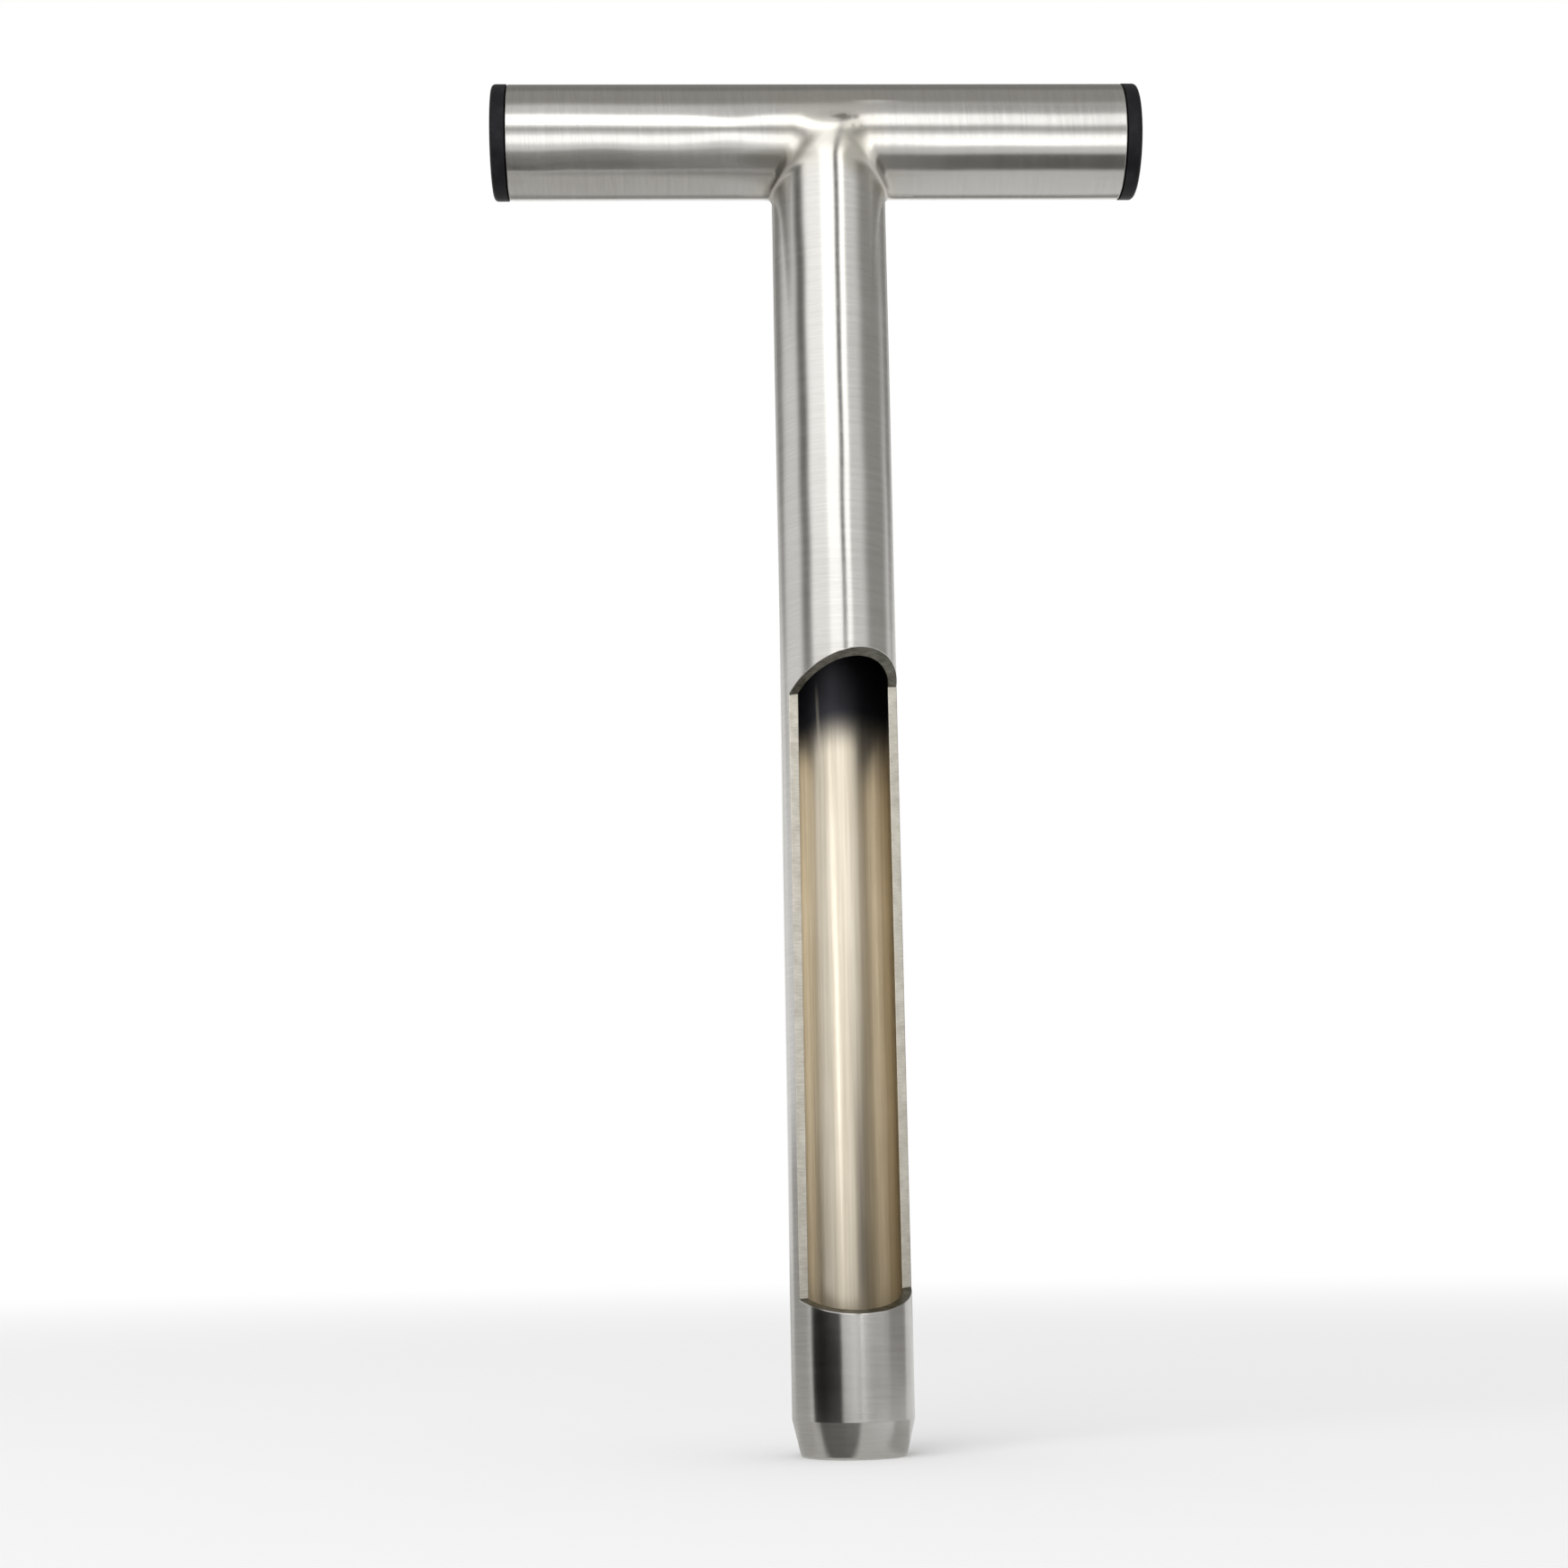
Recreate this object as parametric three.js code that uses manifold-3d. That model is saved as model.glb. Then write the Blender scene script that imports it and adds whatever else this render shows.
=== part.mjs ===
// Hand soil sampling probe: a stainless tube with a bevelled cutting end and a long side window, welded to
// a tubular crossbar whose ends are closed by push-in plastic caps.
// Millimetres, +Z up. The origin is the centre of the cutting edge. The crossbar runs along X and the window
// faces -Y.
import * as THREE from "three";
import { mergeVertices } from "three/addons/utils/BufferGeometryUtils.js";
import Module from "manifold-3d";

const wasm = await Module();
wasm.setup();

// Driving dimensions
const overallHeight = 300; // cutting edge to the top of the crossbar's end caps
const probeDiameter = 25.4; // probe tube, outside
const probeWall = 2;
const crossbarDiameter = 25.4; // crossbar tube, outside
const crossbarWall = 2;
const crossbarLength = 137.5; // the tube alone, without its caps
const crossbarShift = -2.8; // crossbar's middle from the probe tube's axis, along X
const pieceGap = 0.3; // clearance between pieces that touch on the real tool
const cutOverrun = 10; // how far a cutter reaches past what it cuts

// Cutting end: a conical bevel turned on the outside, down to a narrow land round the bore
const bevelLength = 7.5;
const edgeLand = 0.2;

// Window: milled flat a little in front of the tube's axis, both ends cut at a slant that leans outwards.
// The height of each end is that of its cut above the flat's middle.
const windowTurn = 15.8; // degrees from square with the crossbar, towards +X
const windowFlatDepth = 3.1; // tube's axis to the milled flat
const windowTop = 160.3;
const windowTopSlope = 38; // degrees above level
const windowTopTwist = 9; // degrees the upper end's slant faces past the window
const windowBottom = 32.7;
const windowBottomSlope = 21; // degrees below level
const windowBottomTwist = -11.5; // degrees the lower end's slant faces past the window

// Weld: fills the groove between the coped end and the crossbar, and is ground nearly flush at the front and
// back of the joint
const weldGroove = 1.5; // coped end to the crossbar
const weldFaceWidth = 7; // cap of the weld at the front and back of the joint
const weldFaceCrown = 0.8; // its height over the seam there
const weldSideWidth = 2.8; // the same two at the joint's sides, where it is a fillet
const weldSideCrown = 1.4;

// End caps
const capProud = 0.1; // head's rim over the tube's surface
const capHeadThickness = 3.2;
const capEdgeRadius = 1.5;
const capShankLength = 12;
const capShankWall = 1.6;
const capShankClearance = 0.7; // shank to the tube's bore
const capRibClearance = 0.15; // ribs to the tube's bore
const capRibWidth = 1.2;
const capRibCount = 3;
const tubeEdgeBreak = 0.25; // chamfer on the crossbar tube's cut ends

// Facets
const tubeFacets = 64;
const capFacets = 48;
const capArcSteps = 4;
const weldSteps = 40; // along each half of the saddle
const weldSides = 12;

// Sizes worked out from the driving ones
const probeRadius = probeDiameter / 2;
const probeBore = probeRadius - probeWall;
const crossbarRadius = crossbarDiameter / 2;
const crossbarBore = crossbarRadius - crossbarWall;
const capHeadRadius = crossbarRadius + capProud;
const crossbarHeight = overallHeight - capHeadRadius; // its axis
const windowReach = probeRadius + cutOverrun;

// Solids

// A closed three.js geometry as a solid that can be joined and cut.
function solidFrom(geometry) {
  const bare = geometry.clone();
  bare.deleteAttribute("normal");
  bare.deleteAttribute("uv");
  const merged = mergeVertices(bare);
  return new wasm.Manifold(
    new wasm.Mesh({
      numProp: 3,
      vertProperties: new Float32Array(merged.attributes.position.array),
      triVerts: new Uint32Array(merged.index.array),
    }),
  );
}

// The solid's surface as a flat-shaded three.js geometry.
function geometryFrom(solid) {
  const { numProp, vertProperties, triVerts } = solid.getMesh();
  const corners = new Float32Array(triVerts.length * 3);
  triVerts.forEach((vertex, corner) => {
    corners.set(vertProperties.subarray(vertex * numProp, vertex * numProp + 3), corner * 3);
  });
  const geometry = new THREE.BufferGeometry();
  geometry.setAttribute("position", new THREE.BufferAttribute(corners, 3));
  geometry.computeVertexNormals();
  return geometry;
}

// A profile of (radius, height) points revolved round Z.
function revolve(profile, facets) {
  return new THREE.LatheGeometry(profile, facets).rotateX(Math.PI / 2);
}

// A solid cylinder along X at the crossbar's height.
function crossbarCylinder(radius, length) {
  return solidFrom(
    new THREE.CylinderGeometry(radius, radius, length, tubeFacets)
      .rotateX(Math.PI / 2)
      .rotateY(Math.PI / 2)
      .translate(0, 0, crossbarHeight),
  );
}

// A solid cylinder along Z round the probe tube's axis.
function probeCylinder(radius, height) {
  return solidFrom(
    new THREE.CylinderGeometry(radius, radius, height, tubeFacets)
      .rotateX(Math.PI / 2)
      .translate(0, 0, height / 2),
  );
}

// Unit vector in the level plane, turned from -Y towards +X.
function facing(degrees) {
  const angle = THREE.MathUtils.degToRad(degrees);
  return new THREE.Vector3(Math.sin(angle), -Math.cos(angle), 0);
}

// Everything on one side of a slanted cut: a block whose cut face passes through the flat's end at `height`,
// faces `turn` degrees, and rises outwards by `slope` degrees. `side` is -1 for the block under the cut, and 1
// for the one over it.
function slantedBlock(height, turn, slope, side) {
  const depth = overallHeight;
  return solidFrom(
    new THREE.BoxGeometry(2 * windowReach, 2 * depth, depth)
      .translate(0, 0, (side * depth) / 2)
      .rotateX(-THREE.MathUtils.degToRad(slope))
      .rotateZ(THREE.MathUtils.degToRad(turn))
      .translate(...facing(turn).multiplyScalar(windowFlatDepth).setZ(height).toArray()),
  );
}

// The window's cutter: the material in front of the milled flat, between the two slanted ends.
function windowCutter() {
  const inFront = solidFrom(
    new THREE.BoxGeometry(2 * windowReach, windowReach, overallHeight)
      .translate(0, -windowFlatDepth - windowReach / 2, overallHeight / 2)
      .rotateZ(THREE.MathUtils.degToRad(windowTurn)),
  );
  const underTop = slantedBlock(windowTop, windowTurn + windowTopTwist, windowTopSlope, -1);
  const overBottom = slantedBlock(windowBottom, windowTurn + windowBottomTwist, -windowBottomSlope, 1);
  return inFront.intersect(underTop).intersect(overBottom);
}

// Probe tube: bevelled at the foot, windowed, and coped at the top to sit round the crossbar.
function probeTube() {
  const section = [
    [probeBore, 0],
    [probeBore + edgeLand, 0],
    [probeRadius, bevelLength],
    [probeRadius, crossbarHeight],
    [probeBore, crossbarHeight],
    [probeBore, 0],
  ];
  const blank = solidFrom(revolve(section.map(([r, z]) => new THREE.Vector2(r, z)), tubeFacets));
  const cope = crossbarCylinder(crossbarRadius + weldGroove, probeDiameter + 2 * cutOverrun);
  return blank.subtract(windowCutter()).subtract(cope);
}

// Crossbar tube: plain, square-cut, its sharp edges broken.
function crossbarTube() {
  const end = crossbarLength / 2;
  const flat = end - tubeEdgeBreak;
  const section = [
    [crossbarBore, -flat],
    [crossbarBore + tubeEdgeBreak, -end],
    [crossbarRadius - tubeEdgeBreak, -end],
    [crossbarRadius, -flat],
    [crossbarRadius, flat],
    [crossbarRadius - tubeEdgeBreak, end],
    [crossbarBore + tubeEdgeBreak, end],
    [crossbarBore, flat],
    [crossbarBore, -flat],
  ];
  return solidFrom(revolve(section.map(([r, z]) => new THREE.Vector2(r, z)), tubeFacets));
}

// A point of the seam where the two outer surfaces meet, at an angle round the probe tube from its front.
function seamPoint(angle) {
  const x = probeRadius * Math.sin(angle);
  const y = -probeRadius * Math.cos(angle);
  const drop = Math.sqrt(Math.max(0, crossbarRadius ** 2 - y ** 2));
  return new THREE.Vector3(x, y, crossbarHeight - drop);
}

// The bead's half width and crown at an angle: broad and low at the front and back, a fillet at the sides.
function beadSize(angle) {
  const facingShare = Math.cos(angle) ** 2;
  return {
    halfWidth: THREE.MathUtils.lerp(weldSideWidth, weldFaceWidth, facingShare) / 2,
    crown: THREE.MathUtils.lerp(weldSideCrown, weldFaceCrown, facingShare),
  };
}

// Direction in which one side's seam leaves the front, taken inside both of its sharp ends.
function seamDirection(angle, side) {
  const stretch = Math.PI / (4 * weldSteps);
  const inside = THREE.MathUtils.clamp(Math.abs(angle), stretch, Math.PI - stretch);
  const ahead = seamPoint(side * (inside + stretch));
  return ahead.sub(seamPoint(side * (inside - stretch))).normalize();
}

// The weld's elliptical section at an angle on one side of the joint.
function beadSection(angle, side) {
  const centre = seamPoint(angle);
  const offProbe = new THREE.Vector3(centre.x, centre.y, 0).normalize();
  const offCrossbar = new THREE.Vector3(0, centre.y, centre.z - crossbarHeight).normalize();
  const outward = offProbe.add(offCrossbar).normalize();
  const across = seamDirection(angle, side).cross(outward).normalize();
  const { halfWidth, crown } = beadSize(angle);
  return Array.from({ length: weldSides }, (_, k) => {
    const turn = (2 * Math.PI * k) / weldSides;
    return centre
      .clone()
      .addScaledVector(across, halfWidth * Math.cos(turn))
      .addScaledVector(outward, crown * Math.sin(turn));
  });
}

// One half of the weld's cap, lofted from the front of the joint round to its back. `side` is 1 or -1.
function halfBead(side) {
  const positions = [];
  for (let step = 0; step <= weldSteps; step++) {
    const angle = (side * Math.PI * step) / weldSteps;
    positions.push(...beadSection(angle, side).flatMap((point) => point.toArray()));
  }
  const faces = [];
  const at = (step, k) => step * weldSides + (k % weldSides);
  for (let step = 0; step < weldSteps; step++) {
    for (let k = 0; k < weldSides; k++) {
      faces.push(at(step, k), at(step + 1, k), at(step, k + 1));
      faces.push(at(step, k + 1), at(step + 1, k), at(step + 1, k + 1));
    }
  }
  for (let k = 1; k < weldSides - 1; k++) {
    faces.push(at(0, 0), at(0, k), at(0, k + 1));
    faces.push(at(weldSteps, 0), at(weldSteps, k + 1), at(weldSteps, k));
  }
  const geometry = new THREE.BufferGeometry();
  geometry.setAttribute("position", new THREE.Float32BufferAttribute(positions, 3));
  geometry.setIndex(faces);
  return solidFrom(geometry);
}

// The rounded patch that joins both halves at the front or the back of the joint.
function beadEnd(angle) {
  const { halfWidth, crown } = beadSize(angle);
  return solidFrom(
    new THREE.SphereGeometry(halfWidth, 2 * weldSides, weldSides)
      .scale(1, crown / halfWidth, 1)
      .translate(...seamPoint(angle).toArray()),
  );
}

// Weld bead: its cap and the filling of the groove, less the room of the crossbar, coped tube and bore.
function weldBead() {
  const reach = probeDiameter + 2 * cutOverrun;
  const grooveFilling = crossbarCylinder(crossbarRadius + weldGroove - pieceGap, reach);
  const probeRoom = probeCylinder(probeRadius + pieceGap, overallHeight).subtract(grooveFilling);
  return halfBead(1)
    .add(halfBead(-1))
    .add(beadEnd(0))
    .add(beadEnd(Math.PI))
    .add(probeCylinder(probeRadius, crossbarHeight).intersect(grooveFilling))
    .subtract(crossbarCylinder(crossbarRadius + pieceGap, reach))
    .subtract(probeRoom)
    .subtract(probeCylinder(probeBore, overallHeight));
}

// End cap: a round-edged head and a hollow shank with ribs that grip the bore. Its axis is Z, and its head's
// face lies at zero.
function endCap() {
  const shankRadius = crossbarBore - capShankClearance;
  const ribRadius = crossbarBore - capRibClearance;
  const shankEnd = capHeadThickness + capShankLength;
  const ribPitch = capShankLength / (capRibCount + 1);
  const outline = new THREE.Path();
  outline.moveTo(0, 0);
  outline.lineTo(capHeadRadius - capEdgeRadius, 0);
  outline.absarc(capHeadRadius - capEdgeRadius, capEdgeRadius, capEdgeRadius, -Math.PI / 2, 0, false);
  outline.lineTo(capHeadRadius, capHeadThickness);
  outline.lineTo(shankRadius, capHeadThickness);
  for (let rib = 1; rib <= capRibCount; rib++) {
    const middle = capHeadThickness + rib * ribPitch;
    outline.lineTo(shankRadius, middle - capRibWidth / 2);
    outline.lineTo(ribRadius, middle - capRibWidth / 4);
    outline.lineTo(shankRadius, middle + capRibWidth / 2);
  }
  outline.lineTo(shankRadius, shankEnd);
  outline.lineTo(shankRadius - capShankWall, shankEnd);
  outline.lineTo(shankRadius - capShankWall, capHeadThickness);
  outline.lineTo(0, capHeadThickness);
  return solidFrom(revolve(outline.getPoints(capArcSteps), capFacets));
}

// Scene graph
const stainless = new THREE.MeshStandardMaterial({ color: 0xbdbbb4, roughness: 0.32, metalness: 1 });
const groundWeld = new THREE.MeshStandardMaterial({ color: 0xc8c2b2, roughness: 0.4, metalness: 1 });
const blackPlastic = new THREE.MeshStandardMaterial({ color: 0x19191c, roughness: 0.5, metalness: 0 });

function piece(name, solid, material) {
  const mesh = new THREE.Mesh(geometryFrom(solid), material);
  mesh.name = name;
  return mesh;
}

const probe = new THREE.Group();
probe.add(piece("probe_tube", probeTube(), stainless));
probe.add(piece("weld_bead", weldBead(), groundWeld));

// The crossbar's own frame: its tube and caps lie along the group's Z, which the group turns onto X.
const crossbar = new THREE.Group();
crossbar.position.set(crossbarShift, 0, crossbarHeight);
crossbar.rotation.y = Math.PI / 2;
crossbar.add(piece("handle_tube", crossbarTube(), stainless));
for (const [name, side] of [["end_cap_left", -1], ["end_cap_right", 1]]) {
  const cap = piece(name, endCap(), blackPlastic);
  cap.position.z = side * (crossbarLength / 2 + pieceGap + capHeadThickness);
  cap.rotation.x = side > 0 ? Math.PI : 0;
  crossbar.add(cap);
}

const soilProbe = new THREE.Group();
soilProbe.add(probe, crossbar);

export default soilProbe;
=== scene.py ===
# Short hand soil probe: a stainless T of two equal tubes, the upright one open along its front and turned
# to a cutting edge at its foot, the crossbar closed by black plastic caps.
import math
import bpy
from mathutils import Matrix, Vector


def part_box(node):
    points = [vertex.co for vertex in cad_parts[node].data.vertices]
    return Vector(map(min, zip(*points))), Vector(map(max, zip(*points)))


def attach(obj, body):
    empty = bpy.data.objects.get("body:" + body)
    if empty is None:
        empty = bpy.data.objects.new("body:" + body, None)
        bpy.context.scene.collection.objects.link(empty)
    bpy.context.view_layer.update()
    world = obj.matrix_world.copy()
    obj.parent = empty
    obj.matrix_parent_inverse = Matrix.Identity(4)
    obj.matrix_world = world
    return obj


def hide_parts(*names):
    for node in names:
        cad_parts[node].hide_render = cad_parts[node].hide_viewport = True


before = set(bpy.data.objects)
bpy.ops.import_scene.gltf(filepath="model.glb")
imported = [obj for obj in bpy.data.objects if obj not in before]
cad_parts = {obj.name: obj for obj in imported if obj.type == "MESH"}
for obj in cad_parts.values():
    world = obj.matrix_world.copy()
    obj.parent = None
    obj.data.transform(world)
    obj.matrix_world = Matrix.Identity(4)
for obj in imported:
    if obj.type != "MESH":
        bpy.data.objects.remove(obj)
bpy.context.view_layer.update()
mm = 0.001

# Viewpoint
# The photograph is taken from close by and from below the handle, with the lens nearly square to the
# crossbar. The camera's place, turns and focal length come from a fit to the outlines of both tubes.
photo_pixels = 1743
photo_focal_pixels = 2769
sensor_width = 36
camera_place = (-30.7 * mm, -528.1 * mm, 48.2 * mm)
camera_yaw, camera_pitch, camera_roll = (math.radians(angle) for angle in (-2.01, 9.90, 0.96))
level_ahead = Matrix.Rotation(math.radians(90), 4, "X")

lens = bpy.data.cameras.new("studio_camera")
lens.sensor_width = sensor_width
lens.lens = sensor_width * photo_focal_pixels / photo_pixels
lens.clip_start = 10 * mm
camera = bpy.data.objects.new("studio_camera", lens)
camera.matrix_world = (
    Matrix.Translation(camera_place)
    @ Matrix.Rotation(camera_yaw, 4, "Z")
    @ Matrix.Rotation(camera_pitch, 4, "X")
    @ Matrix.Rotation(camera_roll, 4, "Y")
    @ level_ahead
)
bpy.context.collection.objects.link(camera)
bpy.context.scene.camera = camera
bpy.context.scene.view_settings.view_transform = "Standard"


# Probe tube
# A drawn stainless tube, belt polished round and round. Its foot is turned to a bevel that leaves a thin
# edge, its front is milled open so that it can be emptied, and its head is coped to sit round the crossbar.
tube_low, tube_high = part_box("probe_tube")
bar_low, bar_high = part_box("handle_tube")
tube_radius = (tube_high[0] - tube_low[0]) / 2
tube_wall = 2 * mm
bore_radius = tube_radius - tube_wall
bar_radius = (bar_high[2] - bar_low[2]) / 2
bar_height = (bar_high[2] + bar_low[2]) / 2
cope_clearance = 0.3 * mm
bevel_length = 7.5 * mm
edge_land = 0.2 * mm
tube_facets = 240
overrun = 10 * mm

window_turn = math.radians(15.8)
window_flat = 3.1 * mm
window_top, window_top_slope, window_top_twist = 160.3 * mm, math.radians(38), math.radians(9)
window_bottom, window_bottom_slope, window_bottom_twist = 32.7 * mm, math.radians(-21), math.radians(-11.5)
deburr = 0.18 * mm
shortest_edge = 0.24 * mm
ring_spacing, ring_clearance = 10 * mm, 12.5 * mm
window_edge_angle = math.radians(35)


class Signal:
    """A value in a material, on which Python's operators do the shader's maths."""

    def __init__(self, finish, socket):
        self.finish = finish
        self.socket = socket

    def maths(self, operation, *values):
        sockets = dict(enumerate(values))
        return self.finish.node("ShaderNodeMath", {"operation": operation}, sockets)

    def __add__(self, other):
        return self.maths("ADD", self, other)

    def __sub__(self, other):
        return self.maths("SUBTRACT", self, other)

    def __rsub__(self, other):
        return self.maths("SUBTRACT", other, self)

    def __mul__(self, other):
        return self.maths("MULTIPLY", self, other)

    def __truediv__(self, other):
        return self.maths("DIVIDE", self, other)

    def __abs__(self):
        return self.maths("ABSOLUTE", self)

    def root(self):
        return self.maths("SQRT", self)

    def hump(self):
        """1 at zero, falling away like a bell as the value grows: e to the power of minus it."""
        return self.maths("EXPONENT", 0 - self)

    def most(self, other):
        return self.maths("MAXIMUM", self, other)

    def step(self, low, high):
        """0 up to low, 1 from high on, smooth between them."""
        return self.finish.node(
            "ShaderNodeMapRange",
            {"interpolation_type": "SMOOTHSTEP"},
            {"Value": self, "From Min": low, "From Max": high},
        )

    __radd__ = __add__
    __rmul__ = __mul__


class Finish:
    """A material, or the world's, and the one way its nodes are added."""

    def __init__(self, name, kind=bpy.data.materials):
        self.holder = kind.new(name)
        self.holder.use_nodes = True
        self.tree = self.holder.node_tree
        self.tree.nodes.clear()
        coordinates = self.tree.nodes.new("ShaderNodeTexCoord")
        self.place = Signal(self, coordinates.outputs["Object"])

    def node(self, kind, settings, sockets, output=0):
        """Add a node: its settings first, then the values or links of its sockets."""
        made = self.tree.nodes.new(kind)
        for setting, value in settings.items():
            setattr(made, setting, value)
        for socket, value in sockets.items():
            if isinstance(value, Signal):
                self.tree.links.new(value.socket, made.inputs[socket])
            else:
                made.inputs[socket].default_value = value
        return Signal(self, made.outputs[output]) if made.outputs else None

    def parts(self):
        """The three coordinates of a point of the object."""
        return [self.node("ShaderNodeSeparateXYZ", {}, {0: self.place}, axis) for axis in range(3)]

    def stretched(self, scales, turn=(0, 0, 0)):
        """The object's coordinates turned, then multiplied by a scale along each axis."""
        mapping = {"Vector": self.place, "Rotation": turn}
        turned = self.node("ShaderNodeMapping", {}, mapping)
        return self.node("ShaderNodeVectorMath", {"operation": "MULTIPLY"}, {0: turned, 1: scales})

    def noise(self, vector, detail, roughness=0.5):
        sockets = {"Vector": vector, "Scale": 1, "Detail": detail, "Roughness": roughness}
        return self.node("ShaderNodeTexNoise", {}, sockets)

    def even_noise(self, grain, detail):
        """Noise with the same grain along all three axes, in waves a metre."""
        return self.noise(self.stretched((grain, grain, grain)), detail)

    def relief(self, height):
        """Bumps from a height in metres."""
        return self.node("ShaderNodeBump", {}, {"Strength": 1.0, "Distance": 1.0, "Height": height})

    def blend(self, share, first, second):
        """A colour between two others. The Mix node's colours are its sockets 6 and 7 and its output 2."""
        colours = {"Factor": share, 6: first, 7: second}
        return self.node("ShaderNodeMix", {"data_type": "RGBA"}, colours, 2)

    def surface(self, sockets, changes=None, share=0):
        """Close the material with a Principled surface, or with two that differ in a few sockets."""
        shader = self.node("ShaderNodeBsdfPrincipled", {}, sockets)
        if changes:
            second = self.node("ShaderNodeBsdfPrincipled", {}, {**sockets, **changes})
            shader = self.node("ShaderNodeMixShader", {}, {0: share, 1: shader, 2: second})
        self.node("ShaderNodeOutputMaterial", {}, {"Surface": shader})
        return self.holder


# Belt marks in waves a metre, along the axis that the belt ran round and across it, and their depths.
bar_axis, tube_axis = 0, 2
hair_grain, hair_tilt, hair_depth = (3600, 130), math.radians(5), 0.0006 * mm
stroke_grain, stroke_depth = (900, 45), 0.0002 * mm
hatch_grain, hatch_lean, hatch_depth = (1500, 260), math.radians(32), 0.0034 * mm

# The grinder's marks on the weld, lengthwise scratches towards the foot, and the steel's own unevenness.
ground_grain, ground_turn, ground_share = (900, 2400, 1500), (0.5, 0.9, 0.3), 0.75
scratch_grain, scratch_depth, scratch_top, scratch_full = (2400, 2400, 45), 0.0016 * mm, 80 * mm, 8 * mm
swell_grain, swell_depth = 28, 0.8 * mm
cloud_grain, grit_grain = 70, 420
steel_roughness, roughness_spread = 0.235, 0.05
dull_steel, bright_steel = (0.525, 0.514, 0.488, 1), (0.580, 0.570, 0.546, 1)

# The weld is faintly straw coloured, with a ragged rim that fades out on both tubes and over the crossbar.
# On it the marks of the one tube turn into those of the other within a narrow blend.
straw_steel, straw_share, weld_roughness = (0.600, 0.565, 0.485, 1), 0.40, 0.02
seam_blend = 1 * mm
weld_full, weld_gone, weld_over_bar = 0.6 * mm, 6.5 * mm, 3 * mm
rag_grain, rag_width = 260, 5 * mm

# Pits left in the ground weld: place in X and over the crossbar's middle, half width and half height, all in
# mm, then strength. Patches of shade and dark reflection painted beside the weld are listed in the same way.
weld_pits = (
    (2.6, 0.2, 2.1, 0.9, 0.60),
    (5.7, 0.2, 0.7, 0.6, 0.32),
    (5.1, -1.8, 0.5, 0.5, 0.26),
    (6.9, -1.6, 0.5, 0.7, 0.26),
)
weld_shade_patches = (
    (5.4, -6.5, 3.2, 6.5, 0.7),
    (-12.0, -8.2, 9.0, 2.0, 0.7),
)
# The pits' dark colour also paints the shade in the corners under the crossbar.
pit_and_shade_steel, pit_rag = (0.13, 0.115, 0.092, 1), 3.2
painted_shade_steel, shade_patch_rag = (0.36, 0.345, 0.295, 1), 0.8
patch_core, patch_rim, patch_front = 0.1, 1.4, 4 * mm

# Slight swellings that the belt left on the crossbar's front: in the same way, then their rise.
bar_swellings = (
    (-22, -2.3, 6.5, 3.6, 0.24),
    (-68, -11.0, 8.0, 2.6, 0.26),
    (-50, -9.0, 7.0, 3.0, -0.10),
    (10.5, 5.0, 4.5, 0.9, 0.15),
)
swelling_front = 6 * mm

# Painted shade: a dark line in the corners under the crossbar, which is wider and darker on the left.
corner_shade_width, corner_shade_wider = 1.4 * mm, 1.6 * mm
corner_shade_share, corner_shade_darker = 0.18, 0.40
corner_shade_start, corner_shade_full, left_side = 2 * mm, 6 * mm, 2 * mm


def off_tubes(finish):
    """How far a point lies outside the upright and outside the crossbar, and how far over its middle."""
    x, y, z = finish.parts()
    over = z - bar_height
    return (x * x + y * y).root() - tube_radius, (y * y + over * over).root() - bar_radius, over


def weld_nearness(finish):
    """1 on the weld, falling to 0 a few millimetres away on both tubes."""
    off_tube, off_bar, over = off_tubes(finish)
    away = off_tube.most(off_bar).most(over - weld_over_bar)
    rag = finish.even_noise(rag_grain, 3) - 0.5
    return 1 - (away + rag * rag_width).step(weld_full, weld_gone)


def polishing(finish, axis):
    """Belt marks that run round one axis: fine hairs, broader strokes and the slanting marks of the belt."""
    def marks(grain, tilt=0):
        along, across = grain
        scales, turn = [across, across, across], [0, 0, 0]
        scales[axis], turn[(axis + 1) % 3] = along, tilt
        return finish.stretched(scales, turn)

    return (
        finish.noise(marks(hair_grain, hair_tilt), 3, 0.6),
        finish.noise(marks(stroke_grain), 2, 0.55),
        finish.noise(marks(hatch_grain, hatch_lean), 1),
    )


def spot(x, z, across, over, width, tall):
    """0 at the middle of a spot from the tables above, 1 on its rim, and more outside it."""
    beside = (x - across * mm) / (width * mm)
    above = (z - bar_height - over * mm) / (tall * mm)
    return beside * beside + above * above


def patches(finish, table, rag):
    """Soft spots with ragged rims on the front, from one of the tables above."""
    x, y, z = finish.parts()
    spots = 0
    for *place, strength in table:
        outside = (spot(x, z, *place) + rag).step(patch_core, patch_rim)
        spots = (strength - outside * strength).most(spots)
    return spots * (0 - y).step(0, patch_front)


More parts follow.
